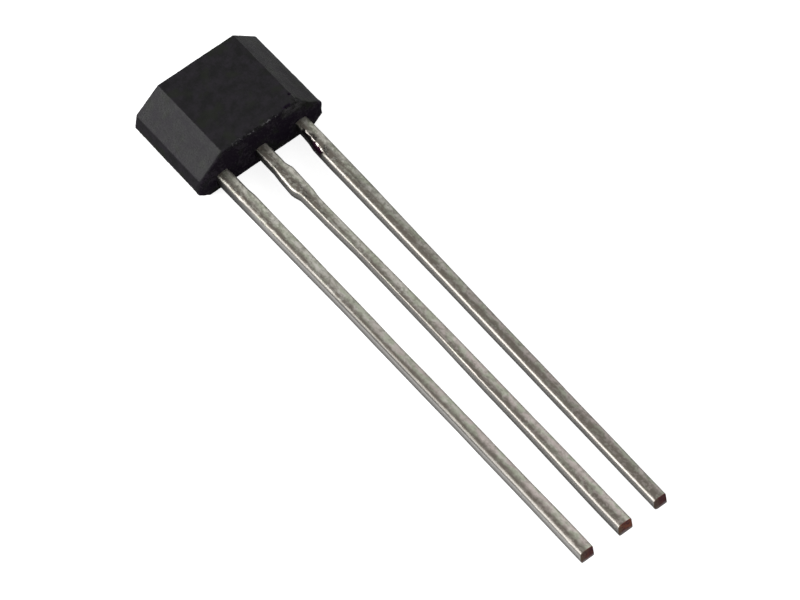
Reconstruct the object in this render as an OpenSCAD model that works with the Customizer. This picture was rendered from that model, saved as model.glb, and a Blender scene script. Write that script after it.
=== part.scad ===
// Hall effect sensor in a flat moulded package with three in-line leads.
//
// It lies on its back: X runs across the package, the leads point along -Y and the sensing
// face looks along +Z. The origin is the middle of the flat back face. Sizes are millimetres.

/* [Moulded body] */
// Width across the body, at the parting plane of the mould
body_w = 4.06; // [3.94:0.02:4.3]
// Length of the body along the leads, at the parting plane
body_l = 2.74; // [2.7:0.02:3.2]
// Thickness from the back face to the sensing face
body_t = 1.57; // [1.5:0.01:1.8]
// Width and depth of the 45 degree chamfers beside the sensing face
front_chamfer = 0.74; // [0.6:0.01:0.78]
// How much each side draws in between the parting plane and the back face
back_taper = 0.3; // [0.2:0.02:0.34]
// Draft of the side walls, from the parting plane to the chamfers
side_draft = 6; // [2:1:8]
// Draft of the end walls, both ways from the parting plane
end_draft = 1; // [1:1:5]
// Radius of the moulded edges around the two faces
edge_r = 0.04; // [0.03:0.01:0.08]
// Radius of the two upright corners beside the leads, as seen from the front
corner_r = 0.12; // [0.06:0.01:0.16]
// Radius of the two upright corners at the end away from the leads
far_corner_r = 0.06; // [0.05:0.01:0.12]
// Diameter of the ejector pin mark in the back face
ejector_d = 0.9; // [0.7:0.1:1.1]
// Depth of the ejector pin mark
ejector_depth = 0.04; // [0.02:0.01:0.06]
// Distance from the middle of the back face to the middle of the ejector pin mark
ejector_y = 0.64; // [0.58:0.02:0.7]
// Width of the broken mould gate on the end away from the leads
gate_w = 0.56; // [0.4:0.04:0.8]
// Height of the broken mould gate
gate_h = 0.14; // [0.1:0.01:0.16]

/* [Leads] */
// Distance between the middles of neighbouring leads
lead_pitch = 1.27; // [1.25:0.01:1.29]
// Width of a lead
lead_w = 0.4; // [0.38:0.01:0.48]
// Thickness of a lead
lead_t = 0.38; // [0.35:0.01:0.41]
// Length of a lead outside the body
lead_l = 14.5; // [12:0.5:16]
// Height of the leads' back surface and of the parting plane above the back face
lead_z = 0.33; // [0.3:0.01:0.4]
// Radius that stamping rolls onto the front edges of a lead
roll_r = 0.08; // [0.05:0.01:0.11]
// Radius of the back edges of a lead, left by tumbling and plating
burr_r = 0.03; // [0.02:0.01:0.05]
// How far the cut end of a lead draws in, all round
tip_inset = 0.02; // [0.01:0.005:0.03]

/* [Sheared dam bar] */
// Distance from the body to the dam bar that joined the leads
dambar_start = 0.75; // [0.6:0.05:1]
// Width of the dam bar, along the leads
dambar_w = 1.25; // [1:0.05:1.5]
// Length of the slope at each end of a sheared stub
dambar_ramp = 0.2; // [0.1:0.02:0.3]
// How far the sheared stubs stand out from both sides of the middle lead
stub_proud = 0.07; // [0.03:0.01:0.12]
// How deep the shear has bitten into the inner side of each outer lead
shear_bite = 0.06; // [0.02:0.01:0.1]

/* [Lead frame inside the body] */
// Width of the paddle that carries the chip
paddle_w = 1.32; // [1.2:0.04:1.4]
// Length of the paddle
paddle_l = 1.76; // [1.7:0.02:1.84]
// Width of the tie bar that held the paddle during moulding
tie_w = 0.36; // [0.3:0.02:0.44]
// Width of each bond post
post_w = 0.76; // [0.7:0.02:0.8]
// Length of each bond post, without its neck
post_l = 1.05; // [0.95:0.05:1.15]
// Diameter of the resin locking hole in each bond post
lock_hole_d = 0.28; // [0.2:0.02:0.32]
// Radius of the locking notches in the paddle's sides
notch_r = 0.09; // [0.06:0.01:0.12]

/* [Chip and bond wires] */
// Width of the silicon chip
die_w = 1.0; // [0.9:0.02:1.04]
// Length of the silicon chip
die_l = 1.2; // [1:0.04:1.24]
// Thickness of the silicon chip
die_t = 0.25; // [0.2:0.01:0.3]
// Thickness of the adhesive under the chip
attach_t = 0.025; // [0.015:0.005:0.04]
// How far the adhesive spreads past the chip on each side
attach_spread = 0.04; // [0.02:0.01:0.06]
// Diameter of the bond wires
wire_d = 0.03; // [0.025:0.005:0.04]
// Height of the straight rise of a wire above its ball
wire_rise = 0.05; // [0.03:0.01:0.08]
// Radius of the bend at the top of a wire
wire_bend_r = 0.08; // [0.05:0.01:0.1]
// Diameter of the bonded ball
ball_d = 0.08; // [0.07:0.005:0.1]
// Height of the bonded ball once it is pressed flat
ball_h = 0.035; // [0.025:0.005:0.045]

/* [Hidden] */

lead_top = lead_z + lead_t;
parting_z = lead_z;                  // the mould parts along the back of the lead frame
half_w = body_w / 2;
half_l = body_l / 2;
seat = -half_l;                      // the end of the body that the leads come out of
over = 1;                            // how far an extruded profile runs past what it cuts
round_steps = 6;                     // straight steps in each rounded corner
bend_steps = 10;                     // straight steps in the bend of a wire
wire_sides = 16;                     // flat sides of a wire
trim_proud = 0.02;                   // the cut tie bar and the broken gate stand out this far

root_y = seat + 0.22;                // where the bar of a lead meets the flat stamped frame
neck_l = 0.15;                       // length over which a lead widens to its post or paddle
paddle_y = seat + 0.53;              // end of the paddle nearest the leads
post_y = seat + 0.6;                 // end of the bond posts nearest the leads
post_x = lead_pitch + 0.01;
post_corner = 0.1;                   // the stamped frame's corners are cut off by this much
tie_y = half_l + trim_proud;

die_y = seat + 1.53;                 // middle of the chip, along the leads
attach_z = lead_top;
die_z = lead_top + attach_t;
die_top = die_z + die_t;
pad_x = 0.36;                        // the outer bond pads on the chip, from its centre line
pad_y = die_y - die_l / 2 + 0.22;
ground_pad_y = die_y - die_l / 2 + 0.12;
stitch_x = post_x + 0.02;            // where the outer wires end on their posts
stitch_y = post_y + 0.62;
ground_stitch_y = paddle_y + 0.16;
stitch_w = 0.055;                    // the flattened foot of a wire
stitch_l = 0.09;
stitch_t = 0.012;

// Half the width of the body at a height z between the parting plane and the chamfers.
function wall_x(z) = half_w - tan(side_draft) * (z - parting_z);

// Half the length of the body at height z: the ends draw in both ways from the parting plane.
function wall_y(z) = half_l - tan(end_draft) * abs(z - parting_z);

function unit(v) = v / norm(v);

// An outline whose corners are rounded to the radii given, one for each corner in turn.
function rounded(outline, radii) =
    let (count = len(outline))
    [for (i = [0:count - 1])
        let (corner = outline[i],
             back = unit(outline[(i + count - 1) % count] - corner),
             ahead = unit(outline[(i + 1) % count] - corner),
             half_angle = acos(back * ahead) / 2,
             centre = corner + unit(back + ahead) * radii[i] / sin(half_angle),
             reach = radii[i] / tan(half_angle),
             from = corner + back * reach - centre,
             to = corner + ahead * reach - centre,
             start = atan2(from.y, from.x),
             sweep = (atan2(to.y, to.x) - start + 540) % 360 - 180)
        for (k = [0:round_steps])
            centre + radii[i] * [cos(start + sweep * k / round_steps),
                                 sin(start + sweep * k / round_steps)]];

// The right half of an outline, bottom to top, completed with its mirror image.
function mirrored(half) =
    concat(half, [for (i = [len(half) - 1:-1:0]) [-half[i].x, half[i].y]]);

// ---------------------------------------------------------------- moulded body

// Section across the body (x, z): it tapers to the back, and is chamfered beside the front.
function body_section() =
    let (shoulder_z = body_t - front_chamfer,
         half = [[half_w - back_taper, 0],
                 [half_w, parting_z],
                 [wall_x(shoulder_z), shoulder_z],
                 [wall_x(shoulder_z) - front_chamfer, body_t]],
         radii = [edge_r, edge_r, edge_r, edge_r])
    rounded(mirrored(half), concat(radii, radii));

// Section along the body (y, z): two flat faces between drafted end walls.
function body_profile() =
    let (half = [[wall_y(0), 0], [half_l, parting_z], [wall_y(body_t), body_t]],
         radii = [edge_r, edge_r, edge_r])
    rounded(mirrored(half), concat(radii, radii));

// Outline seen from the front (x, y).
function body_plan() =
    rounded([[half_w, -half_l], [half_w, half_l], [-half_w, half_l], [-half_w, -half_l]],
            [corner_r, far_corner_r, far_corner_r, corner_r]);

// The plain moulding: what the three outlines have in common.
module moulding() {
    intersection() {
        rotate([90, 0, 0])
            linear_extrude(body_l + 2 * over, center = true) polygon(body_section());
        rotate([90, 0, 90])
            linear_extrude(body_w + 2 * over, center = true) polygon(body_profile());
        linear_extrude(body_t) polygon(body_plan());
    }
}

// What is left of the resin gate, under the tie bar on the end away from the leads.
module gate_mark() {
    translate([-gate_w / 2, wall_y(lead_z) - over / 2, lead_z - gate_h])
        cube([gate_w, over / 2 + trim_proud, gate_h]);
}

module ejector_mark() {
    translate([0, ejector_y, -over])
        cylinder(d = ejector_d, h = over + ejector_depth, $fn = 64);
}

module body() {
    color([0.15, 0.15, 0.155])
    difference() {
        union() {
            moulding();
            gate_mark();
        }
        ejector_mark();
        lead_supply();
        lead_ground();
        lead_output();
        die_attach();
        die();
        wire_supply();
        wire_ground();
        wire_output();
    }
}

// ---------------------------------------------------------------- leads

// Section of a lead (x, z) between two sides, drawn in by inset all round.
function bar_section(left, right, inset) =
    rounded([[right - inset, lead_z + inset], [right - inset, lead_top - inset],
             [left + inset, lead_top - inset], [left + inset, lead_z + inset]],
            [burr_r, roll_r, roll_r, burr_r]);

// A solid skinned over rings of points that turn anticlockwise about the way they follow
// one another, closed by flat ends.
module skinned(rings) {
    size = len(rings[0]);
    last = size * (len(rings) - 1);
    sides = [for (r = [0:len(rings) - 2], i = [0:size - 1])
        let (a = r * size + i, b = r * size + (i + 1) % size)
        each [[b, a, a + size], [b, a + size, b + size]]];
    start_cap = [for (i = [0:size - 1]) i];
    end_cap = [for (i = [size - 1:-1:0]) last + i];
    polyhedron([for (ring = rings) each ring], concat(sides, [start_cap, end_cap]));
}

// A bar over its stations, each [distance from the body, left side, right side, inset].
module lofted_bar(stations) {
    skinned([for (s = stations)
        [for (p = bar_section(s[1], s[2], s[3])) [p.x, seat - s[0], p.y]]]);
}

// Stations of a lead. The dam bar's cut moves its left side by left_cut and its right side by
// right_cut, outwards when positive; the end is drawn in a little where it was cropped.
function lead_stations(left_cut, right_cut) =
    let (half = lead_w / 2,
         dambar_end = dambar_start + dambar_w,
         left = -half - left_cut,
         right = half + right_cut)
    [[seat - root_y, -half, half, 0],
     [dambar_start, -half, half, 0],
     [dambar_start + dambar_ramp, left, right, 0],
     [dambar_end - dambar_ramp, left, right, 0],
     [dambar_end, -half, half, 0],
     [lead_l - tip_inset, -half, half, 0],
     [lead_l, -half, half, tip_inset]];

// A piece of the stamped frame: a plan outline as thick as a lead.
module stamped(outline) {
    translate([0, 0, lead_z]) linear_extrude(lead_t) polygon(outline);
}

// The lead that carries the chip: neck, paddle with a notch in each side, and tie bar.
module lead_ground() {
    half = lead_w / 2;
    paddle_end = paddle_y + paddle_l;
    color([0.66, 0.65, 0.6])
    difference() {
        union() {
            lofted_bar(lead_stations(stub_proud, stub_proud));
            stamped(mirrored([[half, root_y],
                              [half, paddle_y - neck_l],
                              [paddle_w / 2, paddle_y],
                              [paddle_w / 2, paddle_end - post_corner],
                              [paddle_w / 2 - post_corner, paddle_end],
                              [tie_w / 2, paddle_end],
                              [tie_w / 2, tie_y]]));
        }
        for (side = [-1, 1])
            translate([side * paddle_w / 2, die_y - die_l / 2 - 2 * notch_r, lead_z - over])
                cylinder(r = notch_r, h = lead_t + 2 * over, $fn = 48);
    }
}

// An outer lead on the +X side: neck, and a bond post with a resin locking hole.
module outer_lead() {
    half = lead_w / 2;
    post_end = post_y + post_l;
    inner = post_x - post_w / 2;
    outer = post_x + post_w / 2;
    difference() {
        union() {
            translate([lead_pitch, 0, 0]) lofted_bar(outer_stations());
            stamped([[lead_pitch + half, root_y],
                     [lead_pitch + half, post_y - neck_l],
                     [outer, post_y],
                     [outer, post_end - post_corner],
                     [outer - post_corner, post_end],
                     [inner, post_end],
                     [inner, post_y],
                     [lead_pitch - half, post_y - neck_l],
                     [lead_pitch - half, root_y]]);
        }
        translate([post_x, post_y + 0.22, lead_z - over])
            cylinder(d = lock_hole_d, h = lead_t + 2 * over, $fn = 48);
    }
}

// Stations of an outer lead: on its inner side the shear has bitten in, from the body on.
function outer_stations() =
    let (half = lead_w / 2, bite_end = dambar_start + dambar_w / 2)
    [[seat - root_y, -half, half, 0],
     [0, -half, half, 0],
     [dambar_ramp, shear_bite - half, half, 0],
     [bite_end - dambar_ramp / 2, shear_bite - half, half, 0],
     [bite_end, -half, half, 0],
     [lead_l - tip_inset, -half, half, 0],
     [lead_l, -half, half, tip_inset]];

module lead_output() {
    color([0.66, 0.65, 0.6]) outer_lead();
}

module lead_supply() {
    color([0.66, 0.65, 0.6]) mirror([1, 0, 0]) outer_lead();
}

// ---------------------------------------------------------------- chip and bond wires

module die_attach() {
    half_x = die_w / 2 + attach_spread;
    half_y = die_l / 2 + attach_spread;
    spread = [[half_x, -half_y], [half_x, half_y], [-half_x, half_y], [-half_x, -half_y]];
    color([0.72, 0.7, 0.64])
    translate([0, die_y, attach_z])
        linear_extrude(attach_t)
            polygon(rounded(spread, [for (corner = spread) 2 * attach_spread]));
}

module die() {
    color([0.42, 0.44, 0.5])
    translate([-die_w / 2, die_y - die_l / 2, die_z]) cube([die_w, die_l, die_t]);
}

// One ring of a wire's skin, in the wire's own upright plane. A station is [distance along
// the plane, height, heading]; the heading is the angle at which the wire climbs there.
function wire_ring(station) =
    [for (i = [0:wire_sides - 1])
        let (turn = 360 * i / wire_sides, inward = wire_d / 2 * cos(turn))
        [station[0] + inward * sin(station[2]),
         wire_d / 2 * sin(turn),
         station[1] - inward * cos(station[2])]];

// A bond wire from a pad on the chip to a stitch on the lead frame, both given as (x, y).
// It rises from its ball, bends over and runs straight down. The slope of the run follows
// from the bend's radius: the run is the tangent from the stitch to the circle of the bend.
module bond_wire(pad, stitch) {
    span = norm(stitch - pad);
    bearing = atan2(stitch.y - pad.y, stitch.x - pad.x);
    pad_height = die_top - lead_top;
    climb = pad_height + ball_h + wire_rise;
    slope = atan2(climb, span - wire_bend_r)
          + asin(wire_bend_r / norm([span - wire_bend_r, climb]));
    bend = [for (k = [0:bend_steps])
        let (heading = 90 - k * (90 + slope) / bend_steps)
        [wire_bend_r * (1 - sin(heading)), climb + wire_bend_r * cos(heading), heading]];
    stations = concat([[0, pad_height + ball_h / 2, 90]], bend, [[span, 0, -slope]]);

    translate([pad.x, pad.y, lead_top]) rotate(bearing) {
        translate([0, 0, pad_height]) pressed_ball();
        difference() {
            skinned([for (s = stations) wire_ring(s)]);
            translate([span - over / 2, -over / 2, -over]) cube(over);
        }
        stitch_foot(span);
    }
}

// The ball, pressed flat against its pad.
module pressed_ball() {
    intersection() {
        translate([0, 0, ball_h / 2]) sphere(d = ball_d, $fn = 48);
        cylinder(d = ball_d + over, h = ball_h);
    }
}

// The flattened end of the wire: a low tongue with a round end.
module stitch_foot(span) {
    translate([span - stitch_w / 2, 0, 0]) {
        translate([0, -stitch_w / 2, 0]) cube([stitch_l, stitch_w, stitch_t]);
        translate([stitch_l, 0, 0]) cylinder(d = stitch_w, h = stitch_t, $fn = 32);
    }
}

module wire_supply() {
    color("gold") bond_wire([-pad_x, pad_y], [-stitch_x, stitch_y]);
}

module wire_ground() {
    color("gold") bond_wire([0, ground_pad_y], [0, ground_stitch_y]);
}

module wire_output() {
    color("gold") bond_wire([pad_x, pad_y], [stitch_x, stitch_y]);
}

body();
lead_supply();
lead_ground();
lead_output();
die_attach();
die();
wire_supply();
wire_ground();
wire_output();
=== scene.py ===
"""Finish, studio and camera for a flat three-lead Hall effect sensor lying on its back.

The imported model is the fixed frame. The moulded body and the three leads get finely meshed
skins in the same place; the chip, its adhesive and its bond wires keep their solids and get
new finishes. Sizes are in millimetres and meshes are written in metres.
"""

import functools
import logging
import math
from dataclasses import dataclass
from enum import Enum
from typing import Dict, List, Optional, Sequence, Tuple, Union

import bmesh
import bpy
import numpy as np
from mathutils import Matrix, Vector


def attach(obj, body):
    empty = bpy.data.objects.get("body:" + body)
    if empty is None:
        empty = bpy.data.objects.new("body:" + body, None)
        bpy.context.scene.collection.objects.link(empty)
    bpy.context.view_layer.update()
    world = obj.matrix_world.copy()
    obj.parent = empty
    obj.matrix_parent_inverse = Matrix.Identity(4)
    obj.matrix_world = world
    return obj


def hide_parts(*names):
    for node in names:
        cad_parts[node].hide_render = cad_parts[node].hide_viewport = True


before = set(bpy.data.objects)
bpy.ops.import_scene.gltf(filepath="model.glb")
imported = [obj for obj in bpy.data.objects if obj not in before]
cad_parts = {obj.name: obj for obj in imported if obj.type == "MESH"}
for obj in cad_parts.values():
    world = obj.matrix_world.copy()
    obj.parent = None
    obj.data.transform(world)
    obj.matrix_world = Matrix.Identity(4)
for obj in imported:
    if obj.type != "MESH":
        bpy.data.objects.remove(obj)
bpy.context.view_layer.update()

MM = 0.001
LOG = logging.getLogger("hall_sensor")

Colour = Tuple[float, float, float]
Slope = Tuple[float, float]
Value = Union["Signal", float, Sequence[float]]


# ------------------------------------------------------------------ shader arithmetic


class Signal:
    """A socket in a node tree; arithmetic on it adds Math nodes."""

    def __init__(self, tree: "NodeTree", socket: bpy.types.NodeSocket) -> None:
        """Wraps a socket.

        Args:
            tree: the tree that the socket belongs to.
            socket: an output socket.
        """
        self.tree = tree
        self.socket = socket

    def _math(self, operation: str, first: Value, second: Value) -> "Signal":
        """Adds a Math node on two values."""
        return self.tree.node("ShaderNodeMath", {"operation": operation}, {0: first, 1: second})

    def __add__(self, other: Value) -> "Signal":
        """Sum of the two values."""
        return self._math("ADD", self, other)

    def __radd__(self, other: Value) -> "Signal":
        """Sum of the two values."""
        return self._math("ADD", other, self)

    def __sub__(self, other: Value) -> "Signal":
        """Difference of the two values."""
        return self._math("SUBTRACT", self, other)

    def __rsub__(self, other: Value) -> "Signal":
        """Difference of the two values."""
        return self._math("SUBTRACT", other, self)

    def __mul__(self, other: Value) -> "Signal":
        """Product of the two values."""
        return self._math("MULTIPLY", self, other)

    def __rmul__(self, other: Value) -> "Signal":
        """Product of the two values."""
        return self._math("MULTIPLY", other, self)

    def __abs__(self) -> "Signal":
        """Size of the value without its sign."""
        return self._math("ABSOLUTE", self, 0.0)

    def highest(self, other: Value) -> "Signal":
        """The greater of the two values."""
        return self._math("MAXIMUM", self, other)


class NodeTree:
    """A node tree to which nodes are added by type."""

    def __init__(self, tree: bpy.types.NodeTree) -> None:
        """Wraps a tree of a material or of the world."""
        self.tree = tree

    def node(self, kind: str, settings: Optional[Dict] = None,
             inputs: Optional[Dict] = None, output: Union[int, str] = 0) -> Signal:
        """Adds a node.

        Args:
            kind: the node's type.
            settings: properties of the node, set before its sockets are used.
            inputs: a value or a Signal for each socket, by name or number.
            output: the output that is wanted, by name or number.

        Returns:
            The wanted output.
        """
        made = self.tree.nodes.new(kind)
        for key, value in (settings or {}).items():
            setattr(made, key, value)
        for key, value in (inputs or {}).items():
            self.plug(made.inputs[key], value)
        return Signal(self, made.outputs[output])

    def plug(self, socket: bpy.types.NodeSocket, value: Value) -> None:
        """Links a Signal to a socket, or sets the socket's own value.

        Args:
            socket: an input socket.
            value: what it gets.
        """
        if isinstance(value, Signal):
            self.tree.links.new(value.socket, socket)
        else:
            socket.default_value = value

    def blend(self, mask: Value, first: Value, second: Value) -> Signal:
        """Mixes two colours.

        Args:
            mask: 0 for the first colour, 1 for the second.
            first: a colour or a Signal.
            second: a colour or a Signal.

        Returns:
            The mixed colour.
        """
        factor, colour_a, colour_b, result = 0, 6, 7, 2
        return self.node("ShaderNodeMix", {"data_type": "RGBA"},
                         {factor: mask, colour_a: opaque(first), colour_b: opaque(second)}, result)

    def layers(self, base: Value, *coats: Tuple[Value, Value]) -> Value:
        """Puts coats over a base colour in turn; each is a mask and a colour."""
        return functools.reduce(lambda under, coat: self.blend(coat[0], under, coat[1]),
                                coats, base)


class Paint(NodeTree):
    """A material under construction, around its Principled shader."""

    def __init__(self, name: str) -> None:
        """Starts a material.

        Args:
            name: the material's name.
        """
        self.material = bpy.data.materials.new(name)
        self.material.use_nodes = True
        super().__init__(self.material.node_tree)
        self.shader = next(n for n in self.tree.nodes if n.type == "BSDF_PRINCIPLED")

    def feed(self, name: str, value: Value) -> None:
        """Sets or links a socket of the Principled shader."""
        self.plug(self.shader.inputs[name], opaque(value) if name == "Base Color" else value)

    def place_mm(self) -> Signal:
        """Finds the place of the surface point.

        Returns:
            The point in the part's own frame, in millimetres.
        """
        place = self.node("ShaderNodeTexCoord", output="Object")
        return self.node("ShaderNodeVectorMath", {"operation": "SCALE"},
                         {0: place, "Scale": 1.0 / MM})

    def attribute(self, name: str, output: str) -> Signal:
        """A value stored on the mesh, as a vector ("Vector") or a number ("Fac")."""
        return self.node("ShaderNodeAttribute", {"attribute_name": name}, output=output)

    def axes(self, vector: Signal) -> Tuple[Signal, Signal, Signal]:
        """Splits a vector.

        Args:
            vector: the vector.

        Returns:
            Its three components.
        """
        split = self.node("ShaderNodeSeparateXYZ", inputs={0: vector})
        outputs = split.socket.node.outputs
        return tuple(Signal(self, outputs[i]) for i in range(3))

    def stretched(self, vector: Signal, scale: Sequence[float],
                  shift: Sequence[float] = (0.0, 0.0, 0.0)) -> Signal:
        """A vector scaled along its axes and moved, to stretch a pattern."""
        return self.node("ShaderNodeMapping", inputs={"Vector": vector, "Scale": scale,
                                                      "Location": shift})

    def noise(self, where: Signal, scale: float, detail: float,
              roughness: float = 0.5) -> Signal:
        """Fractal noise from 0 to 1, with scale waves in each unit of where."""
        return self.node("ShaderNodeTexNoise", inputs={"Vector": where, "Scale": scale,
                                                       "Detail": detail, "Roughness": roughness})

    def step(self, value: Value, low: float, high: float) -> Signal:
        """Rises smoothly from 0 at low to 1 at high; low may be above high."""
        return self.node("ShaderNodeMapRange", {"interpolation_type": "SMOOTHSTEP"},
                         {"Value": value, "From Min": low, "From Max": high})

    def bump(self, height: Value, strength: float, depth_mm: float) -> None:
        """Gives the shader a bump.

        Args:
            height: the relief, from 0 to 1.
            strength: how strongly it shows.
            depth_mm: what a height of 1 stands for.
        """
        bent = self.node("ShaderNodeBump", inputs={"Height": height, "Strength": strength,
                                                   "Distance": depth_mm * MM})
        self.feed("Normal", bent)


def opaque(value: Value) -> Value:
    """Completes a colour.

    Args:
        value: a colour of three or four numbers, or a Signal.

    Returns:
        The colour with an alpha of 1 where it had none. A Signal is left as it is.
    """
    if isinstance(value, Signal) or len(value) == 4:
        return value
    return (*value, 1.0)


def mixed(noises: Sequence[Signal], weights: Sequence[float]) -> Signal:
    """The weighted sum of noises, leaving out those of weight 0."""
    return functools.reduce(Signal.__add__, [n * w for n, w in zip(noises, weights) if w])


@dataclass(frozen=True)
class Speckle:
    """A mask from a weighted mix of noises: 0 where the mix is low, 1 where it is high."""

    low: float
    high: float
    weights: Tuple[float, ...]

    def mask(self, paint: Paint, noises: Sequence[Signal]) -> Signal:
        """The mask, from noises in the order of the weights."""
        return paint.step(mixed(noises, self.weights), self.low, self.high)


# ------------------------------------------------------------------ surfaces


def unit(vectors: np.ndarray) -> np.ndarray:
    """Vectors along the last axis, brought to length 1."""
    length = np.linalg.norm(vectors, axis=-1, keepdims=True)
    return vectors / np.maximum(length, 1e-12)


def smooth_step(low: float, high: float, value: np.ndarray) -> np.ndarray:
    """3t^2 - 2t^3, where t runs from 0 at low to 1 at high and is held beyond them."""
    t = np.clip((value - low) / (high - low), 0.0, 1.0)
    return t * t * (3.0 - 2.0 * t)


def zone(value: np.ndarray, *slopes: Slope) -> np.ndarray:
    """The product of smooth steps, each from where it is 0 to where it is 1."""
    return math.prod(smooth_step(*slope, value) for slope in slopes)


def ripple(points: np.ndarray, wavelength: float, seed: int, waves: int = 24) -> np.ndarray:
    """Smooth random relief, roughly from -1 to 1.

    Formula: the mean of sine waves with random directions and phases and nearly equal
    wavelengths, scaled so that its spread doesn't depend on how many there are.

    Args:
        points: places, in millimetres, along the last axis.
        wavelength: typical distance between bumps, in millimetres.
        seed: picks the pattern.
        waves: how many sine waves are added.

    Returns:
        One value for each point.
    """
    rng = np.random.default_rng(seed)
    directions = unit(rng.normal(size=(waves, points.shape[-1])))
    lengths = wavelength * rng.uniform(0.7, 1.4, size=(waves, 1))
    phases = rng.uniform(0.0, 2.0 * np.pi, size=waves)
    angles = points @ (directions * 2.0 * np.pi / lengths).T + phases
    return np.sin(angles).sum(axis=-1) * math.sqrt(2.0 / waves) * 0.6


@dataclass
class Polygon:
    """A convex polygon with rounded corners, anticlockwise.

    Each side has its own number of points, so that outlines of polygons that differ only in
    shape match point for point.
    """

    corners: np.ndarray
    radii: np.ndarray
    counts: np.ndarray
    arc_steps: int = 6

    @classmethod
    def spaced(cls, corners: Sequence[Sequence[float]], radii: Sequence[float],
               spacing: float) -> "Polygon":
        """Makes a polygon whose sides have evenly spaced points.

        Args:
            corners: the corners, anticlockwise.
            radii: the radius of each corner.
            spacing: the distance wanted between points.

        Returns:
            The polygon.
        """
        places = np.array(corners, float)
        sides = np.linalg.norm(np.roll(places, -1, axis=0) - places, axis=1)
        return cls(places, np.array(radii, float), np.maximum(2, sides / spacing).astype(int))

    def directions(self) -> Tuple[np.ndarray, np.ndarray]:
        """From each corner, the unit vectors back and ahead along its two sides."""
        back = unit(np.roll(self.corners, 1, axis=0) - self.corners)
        return back, unit(np.roll(self.corners, -1, axis=0) - self.corners)

    def drawn_in(self, insets: np.ndarray) -> "Polygon":
        """The polygon with each side moved inwards by its own distance.

        Formula: each corner goes to where its two moved sides cross, at
        (d1 u2 + d2 u1) / sin(corner angle), with u1 and u2 along the sides. Its radius
        shrinks by the smaller distance, and never below a hundredth of a millimetre.

        Args:
            insets: one distance for each side; side i runs from corner i to the next.

        Returns:
            The smaller polygon.
        """
        back, ahead = self.directions()
        before, after = np.roll(insets, 1)[:, None], insets[:, None]
        sine = np.abs(back[:, :1] * ahead[:, 1:] - back[:, 1:] * ahead[:, :1])
        corners = self.corners + (before * ahead + after * back) / sine
        radii = np.maximum(self.radii - np.minimum(before, after)[:, 0], 0.01)
        return Polygon(corners, radii, self.counts, self.arc_steps)

    def outline(self, side_values: Optional[np.ndarray] = None) -> np.ndarray:
        """The rounded outline.

        Formula: each corner gives way to the arc of its radius that touches both its sides,
        and the straight stretch up to the next arc is divided evenly.

        Args:
            side_values: a value for each side, blended from side to side over the arcs.

        Returns:
            For each point its two coordinates, then its value.
        """
        values = np.zeros(len(self.corners)) if side_values is None else side_values
        back, ahead = self.directions()
        radii = self.radii[:, None]
        half_angle = np.arccos((back * ahead).sum(axis=1, keepdims=True)) / 2.0
        centres = self.corners + unit(back + ahead) * radii / np.sin(half_angle)
        reach = radii / np.tan(half_angle)
        start, end = self.corners + back * reach - centres, self.corners + ahead * reach - centres
        first = np.arctan2(start[:, 1], start[:, 0])
        sweep = (np.arctan2(end[:, 1], end[:, 0]) - first + np.pi) % (2.0 * np.pi) - np.pi
        rows = []
        for i in range(len(self.corners)):
            turned = np.linspace(0.0, 1.0, self.arc_steps + 1)
            angle = first[i] + sweep[i] * turned
            arc = centres[i] + radii[i] * np.column_stack([np.cos(angle), np.sin(angle)])
            follower = (i + 1) % len(self.corners)
            leg = centres[follower] + start[follower] - arc[-1]
            share = np.linspace(0.0, 1.0, self.counts[i] + 1)[1:-1, None]
            mixed = values[i - 1] + (values[i] - values[i - 1]) * turned
            rows += [np.column_stack([arc, mixed]),
                     np.column_stack([arc[-1] + share * leg, np.full(len(share), values[i])])]
        return np.concatenate(rows)


@dataclass
class Skin:
    """A closed surface: rows of rings, each end drawn together in one point."""

    rows: np.ndarray

    def normals(self) -> np.ndarray:
        """Finds which way the surface faces.

        Formula: the cross product of the steps along and across the rows.

        Returns:
            The outward unit normal at each point.
        """
        along = np.gradient(self.rows, axis=0)
        across = np.roll(self.rows, -1, axis=1) - np.roll(self.rows, 1, axis=1)
        raw = unit(np.cross(across, along))
        outwards = ((self.rows - self.rows.mean(axis=(0, 1))) * raw).sum()
        return raw if outwards > 0 else -raw

    def mesh(self, name: str) -> bpy.types.Mesh:
        """Writes the surface into a mesh, in metres, with its faces pointing outwards.

        Args:
            name: the mesh's name.

        Returns:
            The mesh. Its vertices are the rows in order, then the two end points.
        """
        rings, size = self.rows.shape[:2]
        poles = np.stack([self.rows[0].mean(axis=0), self.rows[-1].mean(axis=0)])
        points = np.concatenate([self.rows.reshape(-1, 3), poles])
        ring, place = np.meshgrid(np.arange(rings - 1), np.arange(size), indexing="ij")
        here, beside = ring * size + place, ring * size + (place + 1) % size
        quads = np.stack([here, beside, beside + size, here + size], axis=-1).reshape(-1, 4)
        spot = np.arange(size)
        beyond, last = (spot + 1) % size, (rings - 1) * size
        first_cap = np.stack([beyond, spot, np.full(size, rings * size)], axis=-1)
        last_cap = np.stack([last + spot, last + beyond, np.full(size, rings * size + 1)], axis=-1)
        if signed_volume(points, quads) < 0.0:
            quads, first_cap, last_cap = quads[:, ::-1], first_cap[:, ::-1], last_cap[:, ::-1]
        mesh = bpy.data.meshes.new(name)
        mesh.from_pydata((points * MM).tolist(), [],
                         quads.tolist() + first_cap.tolist() + last_cap.tolist())
        mesh.polygons.foreach_set("use_smooth", np.ones(len(mesh.polygons), bool))
        mesh.update()
        return mesh


def signed_volume(points: np.ndarray, quads: np.ndarray) -> float:
    """Volume inside quads, from the triple products of their corners; negative if inside out."""
    a, b, c, d = (points[quads[:, i]] for i in range(4))
    return float((a * np.cross(b, c)).sum() + (a * np.cross(c, d)).sum()) / 6.0


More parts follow.
